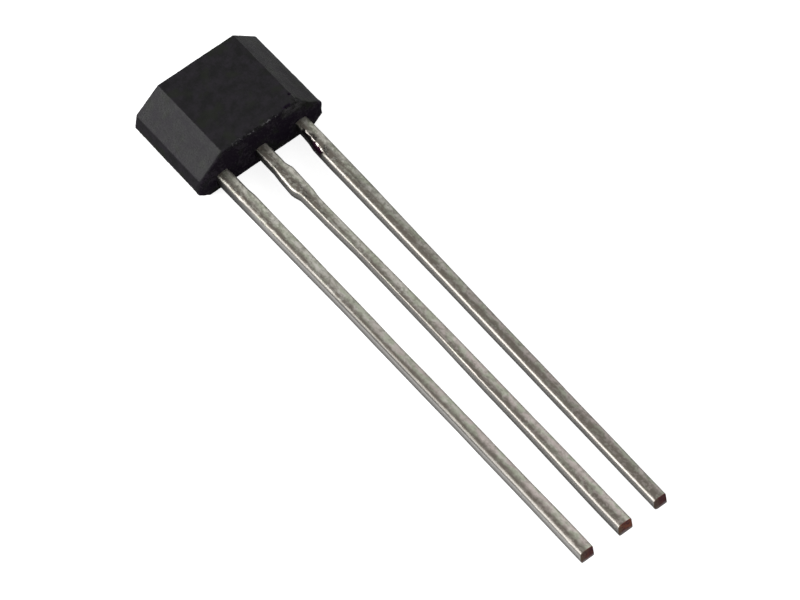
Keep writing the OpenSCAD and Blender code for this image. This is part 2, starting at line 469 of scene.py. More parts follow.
def store(mesh: bpy.types.Mesh, name: str, kind: str, values: np.ndarray) -> None:
    """Stores a value for each vertex.

    Args:
        mesh: the mesh.
        name: the attribute's name.
        kind: "FLOAT" or "FLOAT_VECTOR".
        values: one row for each vertex.
    """
    layer = mesh.attributes.new(name, kind, "POINT")
    key = "value" if kind == "FLOAT" else "vector"
    layer.data.foreach_set(key, np.ascontiguousarray(values, dtype=np.float32).ravel())


def with_poles(values: np.ndarray) -> np.ndarray:
    """Values of a skin's rows as one list, followed by those of its two end points."""
    flat = values.reshape(-1, *values.shape[2:])
    return np.concatenate([flat, values[:1].mean(axis=1), values[-1:].mean(axis=1)])


def add_piece(mesh: bpy.types.Mesh, slot: str, *replaced: str) -> bpy.types.Object:
    """Puts a finished mesh into the scene as a piece that stands for CAD nodes.

    Args:
        mesh: the mesh; the piece takes its name.
        slot: not used.
        *replaced: the nodes that it replaces.

    Returns:
        The piece.
    """
    piece = bpy.data.objects.new(mesh.name, mesh)
    bpy.context.scene.collection.objects.link(piece)
    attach(piece, "root")
    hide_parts(*replaced)
    return piece


# ------------------------------------------------------------------ finishes


@dataclass(frozen=True)
class MouldedEpoxy:
    """Matt black transfer-moulded resin: clouded, finely grained, paler where edges are worn.

    The end wall that the leads come out of is stained purple and darkened with painted
    shade, most of all about stain_and_shade_x.
    """

    resin: Colour = (0.0022, 0.0022, 0.0024)
    cloud: Colour = (0.0098, 0.0082, 0.0112)
    green_cast: Colour = (0.0058, 0.0074, 0.0040)
    # Purple-black: stained and painted shade on the end wall by the leads, and painted shade in
    # the pit and along the facet's rim.
    broken: Colour = (0.0030, 0.0002, 0.0050)
    ashen: Colour = (0.0250, 0.0190, 0.0280)
    # Pale grey of worn edges and chips, also the painted light on the broken facet.
    worn: Colour = (0.070, 0.067, 0.070)
    specular: float = 0.12
    roughness: Tuple[float, float] = (0.34, 0.50)
    cloud_per_mm: float = 3.2
    grain_per_mm: float = 18.0
    grain_depth: float = 0.02
    stain_and_shade_x: float = 0.45
    stain_and_shade_half: Slope = (0.6, 0.3)
    green_slope: Slope = (0.52, 0.66)
    hollow_shade_slope: Slope = (-0.1, -0.5)
    worn_slope: Slope = (0.3, 0.9)
    clouded: Speckle = Speckle(0.36, 0.66, (0.7, 0.0, 0.3, 0.0))
    ash: Speckle = Speckle(0.50, 0.58, (0.4, 0.0, 0.6, 0.0))
    stain_and_shade: Speckle = Speckle(0.54, 0.46, (0.0, 0.5, 0.5, -0.05))

    def make(self, lead_end_y: float, shoulder_z: float) -> bpy.types.Material:
        """Builds the material.

        Args:
            lead_end_y: place of the end wall that the leads come out of, which gets the painted
                shade.
            shoulder_z: height below which the walls keep the coarse finish of the mould.

        Returns:
            The material. It reads the piece's edge_wear_and_shading attribute: 1 for the palest
            worn edge or for the painted light on the broken facet, 0 for none, and below 0 for the
            painted shade of the pit and of the rim above the facet.
        """
        paint = Paint("moulded_epoxy")
        place = paint.place_mm()
        clouds = paint.noise(place, self.cloud_per_mm, 5.0, 0.62)
        cast = paint.noise(place, self.cloud_per_mm * 0.6, 2.0, 0.5)
        grain = paint.noise(place, self.grain_per_mm, 4.0, 0.6)
        filler = paint.noise(place, self.grain_per_mm * 3.1, 2.0, 0.5)
        wear_and_shading = paint.attribute("edge_wear_and_shading", "Fac")
        x, y, z = paint.axes(place)
        at_leads = paint.step(y, lead_end_y + 0.07, lead_end_y + 0.01)
        coarse = paint.step(z, shoulder_z + 0.02, shoulder_z - 0.02)
        noises = (clouds, cast, grain, paint.step(abs(x - self.stain_and_shade_x), *self.stain_and_shade_half))
        # Painted shade where the attribute is below 0: the pit and the rim above the broken facet.
        hollow_shade = paint.step(wear_and_shading, *self.hollow_shade_slope)
        scuffed = paint.step(wear_and_shading + (grain - 0.5) * 0.5, *self.worn_slope)
        paint.feed("Base Color", paint.layers(
            self.resin, (self.clouded.mask(paint, noises), self.cloud),
            (paint.step(cast, *self.green_slope) * 0.7, self.green_cast),
            (at_leads * self.ash.mask(paint, noises) * 0.8, self.ashen),
            # The end wall by the leads is stained purple and darkened with painted shade.
            (at_leads * self.stain_and_shade.mask(paint, noises), self.broken),
            # Painted shade in the pit and along the rim; worn edges and chips, and painted light
            # on the broken facet.
            (hollow_shade, self.broken), (scuffed * 0.8, self.worn)))
        low, high = self.roughness
        paint.feed("Roughness", low + (high - low) * paint.step(clouds, 0.3, 0.7)
                   + 0.35 * at_leads.highest(coarse).highest(hollow_shade))
        paint.feed("Specular IOR Level", self.specular)
        paint.bump(grain * 0.6 + filler * 0.4, 0.55, self.grain_depth)
        return paint.material


class LeadSurface:
    """What a lead's finish is made from: places on it, noises drawn out along it, and zones.

    ROOT, BODY and AGED are distances from the body, where a zone starts and where it is
    complete. TIP is the same from the lead's end, and TOP is in turns of the surface.
    """

    ROOT: Slope = (2.2, 0.9)
    BODY: Slope = (4.5, 1.0)
    AGED: Slope = (3.0, 9.0)
    TIP: Slope = (4.5, 0.5)
    TOP: Slope = (0.6, 0.3)

    def __init__(self, paint: Paint, seed: float, length: float) -> None:
        """Reads the attributes that the lead's mesh holds, and adds the noises.

        Args:
            paint: the material.
            seed: shifts the noises, so that no two leads look alike.
            length: length of the lead outside the body, in millimetres.
        """
        self.paint = paint
        self.space = paint.attribute("lead_space", "Vector")
        self.turn = paint.attribute("lead_turn", "Fac")
        self.across, self.along, self.level = paint.axes(self.space)
        self.far = (seed * 7.0, seed * 3.0, seed)
        self.mottle = self.noise(0.5, 4.5, 4.0, 0.65)
        self.flecks = self.noise(0.7, 9.0, 3.0, 0.6)
        self.grain = self.noise(0.6, 15.0, 2.0, 0.6)
        self.streaks = self.noise(0.07, 8.0, 3.0, 0.6)
        self.cast = self.noise(0.4, 5.5, 2.0, 0.5)
        self.noises = (self.mottle, self.flecks, self.grain, self.streaks)
        self.on_top = paint.step(abs(self.turn), *self.TOP)
        self.at_root = self.zone(*self.ROOT)
        self.by_body = self.zone(*self.BODY)
        self.aged = self.zone(*self.AGED)
        self.at_tip = self.zone(*(length - before for before in self.TIP))

    def noise(self, stretch: float, scale: float, detail: float, roughness: float) -> Signal:
        """Noise on the lead's own space, drawn out along it where stretch is below 1."""
        place = self.paint.stretched(self.space, (1.0, stretch, 1.0), self.far)
        return self.paint.noise(place, scale, detail, roughness)

    def zone(self, start: float, end: float) -> Signal:
        """Rises from 0 at one distance from the body to 1 at another."""
        return self.paint.step(self.along, start, end)

    def mask(self, speckle: Speckle) -> Signal:
        """A speckle of mottle, flecks, grain and streaks."""
        return speckle.mask(self.paint, self.noises)


@dataclass(frozen=True)
class TinnedLead:
    """Matt tin over copper alloy: mottled, with a dark band along the left of its front that is
    tarnished tin in part and a painted dark reflection in part, and polished on its rolled left
    edge, whose colour also paints its highlight.

    Tone scales the colours of the front and side_tone the light painted on the sides. Tip_shine
    says how bright the tin gets at the tip, and tip_glow how much clean copper its end shows.
    The tarnished and painted dark band reaches across to reflection_band_to, and further by the
    body by reflection_band_by_body; evenness keeps blots and pits down. The brightness of the
    polished roll, a painted highlight in part, is given by the body, half way along and at the
    tip. The shear patch is a pair of distances from the body between which the left side shows
    broken copper.
    """

    name: str
    seed: float
    tip_glow: float
    tone: float
    tip_shine: float
    reflection_band_to: float
    evenness: float
    side_tone: float
    polish_and_highlight_by: Tuple[float, float, float]
    reflection_band_by_body: float = 0.0
    shear_patch: Optional[Tuple[float, float]] = None
    tin: Colour = (0.240, 0.236, 0.200)
    bright_tin: Colour = (0.36, 0.355, 0.32)
    tip_tin: Colour = (0.45, 0.44, 0.39)
    dull_tin: Colour = (0.130, 0.125, 0.108)
    rosy_tin: Colour = (0.312, 0.255, 0.250)
    green_tin: Colour = (0.245, 0.260, 0.202)
    # Dark band on the front: tarnished tin in part and a painted dark reflection in part.
    tarnish_and_reflection: Colour = (0.106, 0.094, 0.080)
    # Rubbed and polished tin of the rolled edge, whose colours also paint its highlight.
    rubbed_and_highlight: Colour = (0.15, 0.142, 0.130)
    polish_and_highlight: Colour = (0.64, 0.60, 0.55)
    # Shaded and lit copies of the side tin: painted shade on the sides.
    shaded_side: Colour = (0.14, 0.134, 0.126)
    lit_side: Colour = (0.60, 0.585, 0.56)
    # Dark dirt of the blots and the torn stretch, also the painted dark reflection of the body on
    # the sides.
    grime_and_shade: Colour = (0.018, 0.016, 0.016)
    copper: Colour = (0.250, 0.085, 0.045)
    dark_copper: Colour = (0.070, 0.022, 0.028)
    torn_copper: Colour = (0.022, 0.007, 0.016)
    olive: Colour = (0.125, 0.105, 0.072)
    smeared_tin: Colour = (0.24, 0.21, 0.21)
    metallic: float = 1.0
    rosy_cast: Slope = (0.42, 0.58)
    green_cast: Slope = (0.52, 0.40)
    reflection_band_soft: float = 0.17
    worn_spots: Speckle = Speckle(0.38, 0.60, (0.3, 0.4, 0.0, 0.3))
    pits: Speckle = Speckle(0.50, 0.42, (0.0, 0.4, 0.6, 0.0))
    specks: Speckle = Speckle(0.52, 0.60, (0.0, 0.4, 0.6, 0.0))
    blots: Speckle = Speckle(0.48, 0.54, (0.2, 0.4, 0.4, 0.0))
    reflection_band_gaps: Speckle = Speckle(0.48, 0.58, (0.0, 0.5, 0.5, 0.0))
    highlight_chatter: Speckle = Speckle(0.44, 0.51, (0.0, 0.7, 0.0, 0.3))
    lip_highlight_gaps: Speckle = Speckle(0.44, 0.49, (0.0, 0.4, 0.4, 0.2))
    clean_copper: Speckle = Speckle(0.40, 0.60, (0.5, 0.0, 0.5, 0.0))
    olive_mix: Tuple[float, ...] = (0.0, 0.0, 0.5, 0.5)
    relief_mix: Tuple[float, ...] = (0.3, 0.4, 0.3, 0.0)

    def toned(self, colour: Colour) -> Colour:
        """A colour of the plating, brought to this lead's own tone."""
        return tuple(channel * self.tone for channel in colour)

    def make(self, length: float, half_t: float, lean: float) -> bpy.types.Material:
        """Builds the material.

        Args:
            length: length of the lead outside the body, in millimetres.
            half_t: half its thickness.
            lean: how far the front of its cropped end stays behind the middle.

        Returns:
            The material. It reads two attributes of the piece: lead_space, millimetres
            across the lead, away from the body and above its middle; and lead_turn, which
            way the skin faces, 0 for up, 1 for right, -1 for left and 2 or -2 for down.
        """
        paint = Paint(self.name)
        on = LeadSurface(paint, self.seed, length)
        front, stain_and_shade = self.front(on)
        plated = paint.blend(paint.step(abs(on.turn), 0.55, 0.85), front, self.flank(on, half_t))
        # The rolled edge's colour is polished tin in part and a painted highlight in part.
        rolled, shine = self.rolled_edge_highlight(on)
        if self.shear_patch:
            coats = self.torn(on, half_t)
            plated = paint.layers(plated, *coats)
            rolled = rolled * (1.0 - coats[0][0])
        bare = paint.step(on.along + on.level * (lean / half_t), length - 0.024, length - 0.012)
        paint.feed("Base Color", paint.layers(plated, (rolled, shine),
                                              (bare, self.cropped_end(on, half_t))))
        paint.feed("Metallic", self.metallic)
        paint.feed("Roughness",
                   0.33 + 0.14 * on.mottle + 0.12 * stain_and_shade + 0.1 * bare + 0.06 * rolled)
        paint.bump(mixed(on.noises, self.relief_mix) * (1.0 - 0.7 * on.at_tip), 0.5, 0.012)
        return paint.material

    def front(self, on: LeadSurface) -> Tuple[Signal, Signal]:
        """The mottled tin of the front.

        Args:
            on: the lead's places and noises.

        Returns:
            Its colour, and how much of the tarnished and painted dark reflection band it has, from
            0 to 1.
        """
        paint = on.paint
        shine = (on.at_tip * self.tip_shine).highest(on.at_root * 0.8)
        bright = paint.blend(shine, self.toned(self.bright_tin), self.toned(self.tip_tin))
        worn = on.mask(self.worn_spots).highest(0.6 * on.zone(2.6, 1.2))
        rosy = paint.step(on.cast, *self.rosy_cast) * (0.1 + 0.5 * on.aged)
        green = paint.step(on.cast, *self.green_cast) * 0.7
        pits = on.mask(self.pits) * (0.55 - 0.35 * on.aged * self.evenness)
        specks = on.mask(self.specks) * on.by_body * 0.9

        # The dark band along the left of the front is tarnished tin in part and a painted dark
        # reflection in part.
        wander = (on.mottle - 0.5) * 0.12 + (on.flecks - 0.5) * 0.12 * (1.0 - on.at_tip)
        wander = wander - on.by_body * (1.0 - 0.8 * on.at_root) * self.reflection_band_by_body
        stain_and_shade = on.on_top * paint.step(on.across + wander, self.reflection_band_to,
                                       self.reflection_band_to - self.reflection_band_soft)
        stain_and_shade = stain_and_shade * (1.0 - 0.5 * paint.step(on.streaks, 0.5, 0.7) * (1.0 - on.at_tip))
        stain_and_shade = stain_and_shade * (1.0 - (0.45 - 0.3 * on.aged * self.evenness) * on.mask(self.reflection_band_gaps))

        blots = on.mask(self.blots) * (1.0 - 0.75 * on.by_body * paint.step(on.mottle, 0.56, 0.46))
        blots = blots * (0.3 + 1.2 * (1.0 - self.evenness) * on.by_body)
        blots = blots * (0.16 + 0.84 * stain_and_shade) * (1.0 - 0.8 * on.at_tip)
        front = paint.layers(
            self.toned(self.tin), (worn, bright), (rosy, self.toned(self.rosy_tin)),
            (green, self.toned(self.green_tin)), (pits, self.toned(self.dull_tin)),
            (specks, self.tip_tin), (stain_and_shade, self.tarnish_and_reflection), (blots, self.grime_and_shade))
        return front, stain_and_shade

    def flank(self, on: LeadSurface, half_t: float) -> Signal:
        """The sides: painted shade, darker towards the back and paler towards the front, and a
        painted dark reflection of the body beside it.

        Args:
            on: the lead's places and noises.
            half_t: half the lead's thickness.

        Returns:
            Their colour.
        """
        # Painted shade: the sides darken towards the back; side_tone scales the painted light on
        # them.
        side = on.paint.step(on.level, -half_t, half_t * 0.6) * self.side_tone
        return on.paint.layers(self.shaded_side, (side * (0.75 + 0.5 * on.streaks), self.lit_side),
                               # Painted dark reflection of the black body on the sides beside it.
                               (on.zone(2.2, 0.3) * 0.85, self.grime_and_shade))

    def torn(self, on: LeadSurface, half_t: float) -> List[Tuple[Signal, Value]]:
        """The shear patch on the left side.

        Args:
            on: the lead's places and noises.
            half_t: half the lead's thickness.

        Returns:
            Two coats, each a mask and a colour: broken copper, and a painted highlight along the
                upper edge of the tear.
        """
        first, last = self.shear_patch
        step = on.paint.step
        share = (on.along - first) * (1.0 / (last - first))
        edge = on.across + (on.flecks - 0.5) * 0.07 + 0.06 * share * share
        broken = step(share, 0.0, 0.06) * step(share + (on.grain - 0.5) * 0.2, 1.0, 0.9)
        below = step(edge, -0.085, -0.10) * step(on.level, -half_t * 0.9, -half_t * 0.2)
        # Painted highlight along the upper edge of the tear.
        lip_highlight = step(edge, -0.066, -0.076) * step(edge, -0.10, -0.090) * on.mask(self.lip_highlight_gaps)
        copper = on.paint.blend(step(share, 0.45, 0.6), self.grime_and_shade, self.torn_copper)
        return [(broken * below, copper), (broken * lip_highlight, self.polish_and_highlight)]

    def rolled_edge_highlight(self, on: LeadSurface) -> Tuple[Signal, Signal]:
        """The polished roll of the left edge, whose colour also paints the highlight on it.

        Args:
            on: the lead's places and noises.

        Returns:
            Where it shows, from 0 to 1, and its colour.
        """
        step = on.paint.step
        by_root, midway, by_tip = self.polish_and_highlight_by
        # Painted highlight: the roll's brightness by the body, half way along and at the tip, with
        # gaps in places.
        amount = by_root + (midway - by_root) * on.zone(2.0, 6.0) + (by_tip - midway) * on.at_tip
        wobble = on.turn + (on.flecks - 0.5) * 0.5 * on.by_body
        rolled = step(wobble, -0.2, -0.45) * step(wobble, -0.95, -0.7) * on.zone(0.1, 0.4)
        rolled = rolled * (1.0 - on.by_body * (1.0 - on.mask(self.highlight_chatter)))
        return rolled, on.paint.blend(amount, self.rubbed_and_highlight, self.polish_and_highlight)

    def cropped_end(self, on: LeadSurface, half_t: float) -> Signal:
        """The bare end: copper with olive streaks, and tin smeared over it from the back.

        Args:
            on: the lead's places and noises.
            half_t: half the lead's thickness.

        Returns:
            Its colour.
        """
        paint = on.paint
        core = paint.blend(on.mask(self.clean_copper) * self.tip_glow, self.dark_copper,
                           self.copper)
        streaked = paint.step(mixed(on.noises, self.olive_mix) - on.across, 0.5, 0.72) * 0.7
        smear = paint.step(on.level + (on.mottle - 0.5) * 0.12, -half_t * 0.35, -half_t * 0.85)
        return paint.layers(core, (streaked, self.olive), (smear * 0.8, self.smeared_tin))


@dataclass(frozen=True)
class SilverAdhesive:
    """Silver-filled epoxy: dull, with bright flakes."""

    binder: Colour = (0.42, 0.41, 0.39)
    flake: Colour = (0.78, 0.77, 0.74)

    def make(self) -> bpy.types.Material:
        """Builds the material.

        Returns:
            The material.
        """
        paint = Paint("silver_adhesive")
        place = paint.place_mm()
        flakes = paint.node("ShaderNodeTexVoronoi", inputs={"Vector": place, "Scale": 45.0})
        mask = paint.step(flakes, 0.35, 0.15)
        paint.feed("Base Color", paint.blend(mask, self.binder, self.flake))
        paint.feed("Metallic", 0.6 * mask + 0.2)
        paint.feed("Roughness", 0.55 - 0.2 * mask)
        paint.bump(paint.noise(place, 30.0, 4.0, 0.6), 0.5, 0.006)
        return paint.material


@dataclass(frozen=True)
class PatternedSilicon:
    """A polished chip: sawn grey sides, and a passivated face with wiring, pads and Hall plate."""

    centre: Tuple[float, float]
    half_size: Tuple[float, float]
    face_z: float
    pads: Tuple[Tuple[float, float], ...]
    pad_half: float = 0.055
    plate_half: float = 0.13
    sawn: Colour = (0.07, 0.072, 0.08)
    field: Colour = (0.085, 0.10, 0.16)
    wiring: Colour = (0.32, 0.30, 0.34)
    plate: Colour = (0.20, 0.12, 0.16)
    aluminium: Colour = (0.80, 0.80, 0.78)

    def patch(self, paint: Paint, x: Signal, y: Signal, spot: Tuple[float, float],
              half: Tuple[float, float]) -> Signal:
        """Marks a rectangle on the chip's face.

        Args:
            paint: the material.
            x: the surface point's place across the chip.
            y: its place along the chip.
            spot: the rectangle's middle.
            half: half its width and half its length.

        Returns:
            1 inside, 0 outside.
        """
        edge = 0.004
        across = paint.step(abs(x - spot[0]), half[0] + edge, half[0])
        return across * paint.step(abs(y - spot[1]), half[1] + edge, half[1])

    def make(self) -> bpy.types.Material:
        """Builds the material.

        Returns:
            The material.
        """
        paint = Paint("patterned_silicon")
        place = paint.place_mm()
        x, y, z = paint.axes(place)
        face = paint.step(z, self.face_z - 0.004, self.face_z - 0.001)
        cells = paint.node("ShaderNodeTexBrick",
                           {"offset": 0.5, "squash": 0.6, "squash_frequency": 3},
                           {"Vector": place, "Scale": 9.0, "Mortar Size": 0.035,
                            "Brick Width": 0.6, "Row Height": 0.35}, "Fac")
        tracks = cells * paint.step(paint.noise(place, 5.0, 1.0), 0.42, 0.5)
        ring = 0.045
        inner = (self.half_size[0] - ring, self.half_size[1] - ring)
        margin = 1.0 - self.patch(paint, x, y, self.centre, inner)
        plate = self.patch(paint, x, y, self.centre, (self.plate_half, self.plate_half))
        surface = paint.blend(tracks * (1.0 - margin), self.field, self.wiring)
        surface = paint.blend(plate, surface, self.plate)
        size = (self.pad_half, self.pad_half)
        pads = [self.patch(paint, x, y, pad, size) for pad in self.pads]
        metal = functools.reduce(Signal.highest, pads)
        surface = paint.blend(metal, surface, self.aluminium)
        paint.feed("Base Color", paint.blend(face, self.sawn, surface))
        paint.feed("Metallic", metal * face)
        saw_marks = paint.noise(paint.stretched(place, (2.0, 2.0, 40.0)), 3.0, 3.0)
        paint.feed("Roughness", 0.5 - 0.32 * face + 0.15 * saw_marks * (1.0 - face))
        paint.bump(face * (tracks + metal).highest(plate) + (1.0 - face) * saw_marks, 0.4, 0.003)
        return paint.material


@dataclass(frozen=True)
class GoldWire:
    """Bright drawn gold, with fine die lines."""

    gold: Colour = (1.0, 0.70, 0.28)
    deep_gold: Colour = (0.86, 0.52, 0.16)

    def make(self) -> bpy.types.Material:
        """Builds the material.

        Returns:
            The material.
        """
        paint = Paint("gold_wire")
        place = paint.place_mm()
        tint = paint.noise(place, 14.0, 3.0)
        lines = paint.noise(paint.stretched(place, (1.0, 6.0, 6.0)), 30.0, 2.0)
        paint.feed("Base Color", paint.blend(paint.step(tint, 0.4, 0.65), self.gold,
                                             self.deep_gold))
        paint.feed("Metallic", 1.0)
        paint.feed("Roughness", 0.16 + 0.16 * lines)
        paint.bump(lines, 0.25, 0.001)
        return paint.material


# ------------------------------------------------------------------ moulded body


@dataclass(frozen=True)
class BodyMarks:
    """Marks of moulding and handling on the body: places and depths in millimetres.

    A slope is a pair: where a mark starts to show and where it shows in full. Each ripple is
    a wavelength and a seed. A pair of heights is how far a side swells towards the leads and
    how much more it swells at the lead end; negative where it draws in. The rim is a painted
    shadow line along the top of the broken facet, whose paler tone is painted light.
    """

    edge_reach: Tuple[float, float] = (0.05, 0.09)
    slow: Tuple[float, int] = (1.3, 1)
    coarse: Tuple[float, int] = (0.34, 3)
    rough: Tuple[float, int] = (0.12, 5)
    speck: Tuple[float, int] = (0.085, 9)
    wave_depth: float = 0.003
    dent_depth: float = 0.003
    back_z: float = 0.02
    back_inset: float = 0.004
    chip_depth: float = 0.1
    chip_slope: Slope = (0.0, 0.9)
    chipped_x: float = 0.2
    chipped_half: Slope = (1.3, 1.1)
    chipped_y: Slope = (-1.1, -1.3)
    chipped_z: Slope = (1.35, 1.5)
    pale_until_x: float = 0.6
    facet_depth: float = 0.05
    facet_x: float = 1.12
    facet_half: Slope = (0.5, 0.3)
    facet_y: Slope = (-1.29, -1.34)
    facet_below: Slope = (0.5, 0.32)
    rim_x: float = 1.3
    rim_half: Slope = (0.62, 0.5)
    rim_y: Slope = (-1.2, -1.3)
    rim_below: float = 0.03
    rim_w: float = 0.035
    lead_end_y: Slope = (-1.2, -1.34)
    shoulder_h: Tuple[float, float] = (0.015, 0.018)
    shoulder_x: Slope = (1.55, 1.9)
    shoulder_y: Slope = (1.2, -0.6)
    shoulder_z: Tuple[Slope, Slope] = ((0.5, 0.78), (1.25, 0.9))
    left_x: Slope = (-1.5, -1.85)
    left_y: Slope = (1.8, -0.8)
    foot_h: float = 0.024
    foot_z: Tuple[Slope, Slope] = ((0.05, 0.22), (0.5, 0.3))
    waist_h: Tuple[float, float] = (0.025, -0.018)
    waist_z: Tuple[Slope, Slope] = ((0.2, 0.45), (0.95, 0.6))
    seam_h: float = 0.006
    seam_w: float = 0.014
    pit_x: float = 1.21
    pit_y: float = -1.02
    pit_r: float = 0.055
    pit_depth: float = 0.06

    def swelling(self, x: np.ndarray, y: np.ndarray, z: np.ndarray) -> np.ndarray:
        """The swellings of the right shoulder, the left foot and the left side above it.

        Formula: each is its height times the product of smooth steps across, along and up.

        Args:
            x: places across the body.
            y: places along it.
            z: heights.

        Returns:
            How far each point stands out.
        """
        lead_end = zone(y, self.lead_end_y)
        shoulder = zone(x, self.shoulder_x) * zone(z, *self.shoulder_z)
        foot = zone(x, self.left_x) * zone(z, *self.foot_z)
        waist = zone(x, self.left_x) * zone(z, *self.waist_z)
        return ((self.shoulder_h[0] * zone(y, self.shoulder_y) + self.shoulder_h[1] * lead_end)
                * shoulder + self.foot_h * lead_end * foot
                + (self.waist_h[0] * zone(y, self.left_y) + self.waist_h[1] * lead_end) * waist)


@dataclass
class MouldedBody:
    """The resin body, on the frame's own sizes, with soft edges, chips and mould marks."""

    width: float = 4.06
    length: float = 2.74
    thickness: float = 1.57
    front_chamfer: float = 0.74
    back_taper: float = 0.30
    side_slope: float = math.tan(math.radians(6.0))
    end_slope: float = math.tan(math.radians(1.0))
    parting_z: float = 0.33
    edge_r: float = 0.04
    parting_r: float = 0.10
    lead_corner_r: Tuple[float, float] = (0.09, 0.03)
    lead_chamfer_r: Tuple[float, float] = (0.08, 0.02)
    far_corner_r: float = 0.06
    ejector_r: float = 0.45
    ejector_depth: float = 0.04
    ejector_y: float = 0.64
    gate_half_w: float = 0.28
    gate_h: float = 0.14
    gate_proud: float = 0.02
    marks: BodyMarks = BodyMarks()
    spacing: float = 0.03

    def wall_x(self, z: np.ndarray) -> np.ndarray:
        """Half the width, drafted above the parting plane and tapered below it.

        Args:
            z: heights.

        Returns:
            Half the width at each height.
        """
        above = self.width / 2.0 - self.side_slope * (z - self.parting_z)
        below = self.width / 2.0 - self.back_taper * (1.0 - z / self.parting_z)
        return np.minimum(above, below)

    def wall_y(self, z: np.ndarray) -> np.ndarray:
        """Half the length at each height: the ends draw in from the parting plane."""
        return self.length / 2.0 - self.end_slope * np.abs(z - self.parting_z)

    def section(self) -> Polygon:
        """The section across the body.

        Returns:
            A polygon in x and z, from the right of the back face.
        """
        shoulder = self.thickness - self.front_chamfer
        top_x = float(self.wall_x(shoulder))
        right = [(self.width / 2.0 - self.back_taper, 0.0), (self.width / 2.0, self.parting_z),
                 (top_x, shoulder), (top_x - self.front_chamfer, self.thickness)]
        radii = [self.edge_r, self.parting_r, self.edge_r, self.edge_r]
        left = [(-x, z) for x, z in reversed(right)]
        return Polygon.spaced(right + left, radii + radii[::-1], self.spacing)

    def end_radii(self, corner_r: Sequence[float], chamfer_r: Sequence[float]) -> np.ndarray:
        """Radius between the end wall and each side of the section, in its order.

        Args:
            corner_r: the radius beside the left and the right side wall.
            chamfer_r: the radius beside the left and the right chamfer.

        Returns:
            The radii, anticlockwise from the right of the back face.
        """
        left, right = ([0.85 * corner, corner, chamfer]
                       for corner, chamfer in zip(corner_r, chamfer_r))
        return np.array(right + [self.edge_r] + left[::-1] + [self.edge_r])

    def end_rows(self, radii: np.ndarray, share: float) -> List[np.ndarray]:
        """Rings from the last full section to the middle of one end wall.

        Formula: a quarter arc, in which each side moves inwards by r(1 - cos a) and stays
        r(1 - sin a) short of the end, and then rings that shrink towards the middle.

        Args:
            radii: the radius beside each side of the section.
            share: -1 for the lead end, 1 for the other.

        Returns:
            The rings.
        """
        section, middle = self.section(), np.array([0.0, self.parting_z + 0.3])
        rows = []
        for a in np.linspace(0.0, np.pi / 2.0, 8)[1:]:
            rim = section.drawn_in(radii * (1.0 - math.cos(a)))
            flat = rim.outline(radii * (1.0 - math.sin(a)))
            rows.append(self.ring(flat[:, :2], share, flat[:, 2]))
        inner = section.drawn_in(radii).outline()[:, :2]
        for shrink in np.linspace(1.0, 0.0, 34)[1:-1] ** 0.9:
            rows.append(self.ring(middle + shrink * (inner - middle), share,
                                  np.zeros(len(inner))))
        return rows

    def skin(self) -> Skin:
        """The plain body.

        Formula: the section is carried along Y in even steps between its two end walls.

        Returns:
            The surface.
        """
        lead_end = self.end_radii(self.lead_corner_r, self.lead_chamfer_r)
        far_end = self.end_radii([self.far_corner_r] * 2, [self.edge_r] * 2)
        from_end = self.section().outline(lead_end)
        to_end = self.section().outline(far_end)[:, 2]
        flat = from_end[:, :2]
        first, last = self.ring(flat, -1.0, from_end[:, 2]), self.ring(flat, 1.0, to_end)
        shares = np.linspace(0.0, 1.0, int(self.length / self.spacing))[:, None, None]
        rows = self.end_rows(lead_end, -1.0)[::-1]
        rows += list(first + (last - first) * shares)
        rows += self.end_rows(far_end, 1.0)
        return Skin(np.stack(rows))

    def ring(self, flat: np.ndarray, share: float, short: np.ndarray) -> np.ndarray:
        """One ring of the body.

        Args:
            flat: its points, as x and z.
            share: how far along it lies, from -1 at the lead end to 1.
            short: how far each point stays short of the end wall.

        Returns:
            The points, as x, y and z.
        """
        y = share * (self.wall_y(flat[:, 1]) - short)
        return np.column_stack([flat[:, 0], y, flat[:, 1]])

    def edge_nearness(self, points: np.ndarray, reach: float) -> np.ndarray:
        """How near each point lies to an edge between two faces, from 0 to 1.

        Formula: exp(-d / reach), where d is the second smallest distance to the planes of the
        body's faces; the smallest is that of the face that the point lies on.

        Args:
            points: the points, in millimetres.
            reach: the distance at which nearness falls to 1/e.

        Returns:
            The nearness of each point.
        """
        shoulder = self.thickness - self.front_chamfer
        slant = unit(np.array([self.parting_z, -self.back_taper]))
        top_x = float(self.wall_x(shoulder))
        across, along, up = np.abs(points[..., 0]), np.abs(points[..., 1]), points[..., 2]
        gaps = np.stack([
            self.thickness - up,
            up,
            self.width / 2.0 - self.side_slope * (up - self.parting_z) - across,
            self.wall_y(up) - along,
            (top_x + shoulder - across - up) / math.sqrt(2.0),
            slant[0] * (self.width / 2.0 - across) + slant[1] * (self.parting_z - up)])
        return np.exp(-np.sort(np.abs(gaps), axis=0)[1] / reach)

    def gate(self, x: np.ndarray, y: np.ndarray, z: np.ndarray) -> np.ndarray:
        """The stub of the gate on the far end.

        Formula: the product of smooth steps across and up, on the far half only.

        Args:
            x: places across the body.
            y: places along it.
            z: heights.

        Returns:
            1 on the stub, 0 off it.
        """
        foot = self.parting_z - self.gate_h
        across = zone(np.abs(x), (self.gate_half_w + 0.02, self.gate_half_w - 0.01))
        return across * (y > 0.0) * zone(z, (foot - 0.02, foot + 0.01),
                                         (self.parting_z + 0.02, self.parting_z - 0.01))

    def ejector(self, x: np.ndarray, y: np.ndarray, z: np.ndarray) -> np.ndarray:
        """The print of the ejector pin in the back face.

        Formula: a smooth step down over the pin's radius, on the back face only.

        Args:
            x: places across the body.
            y: places along it.
            z: heights.

        Returns:
            1 where the pin pressed, 0 elsewhere.
        """
        soft = 0.012
        return (z < self.marks.back_z) * zone(np.hypot(x, y - self.ejector_y),
                                              (self.ejector_r + soft, self.ejector_r - soft))

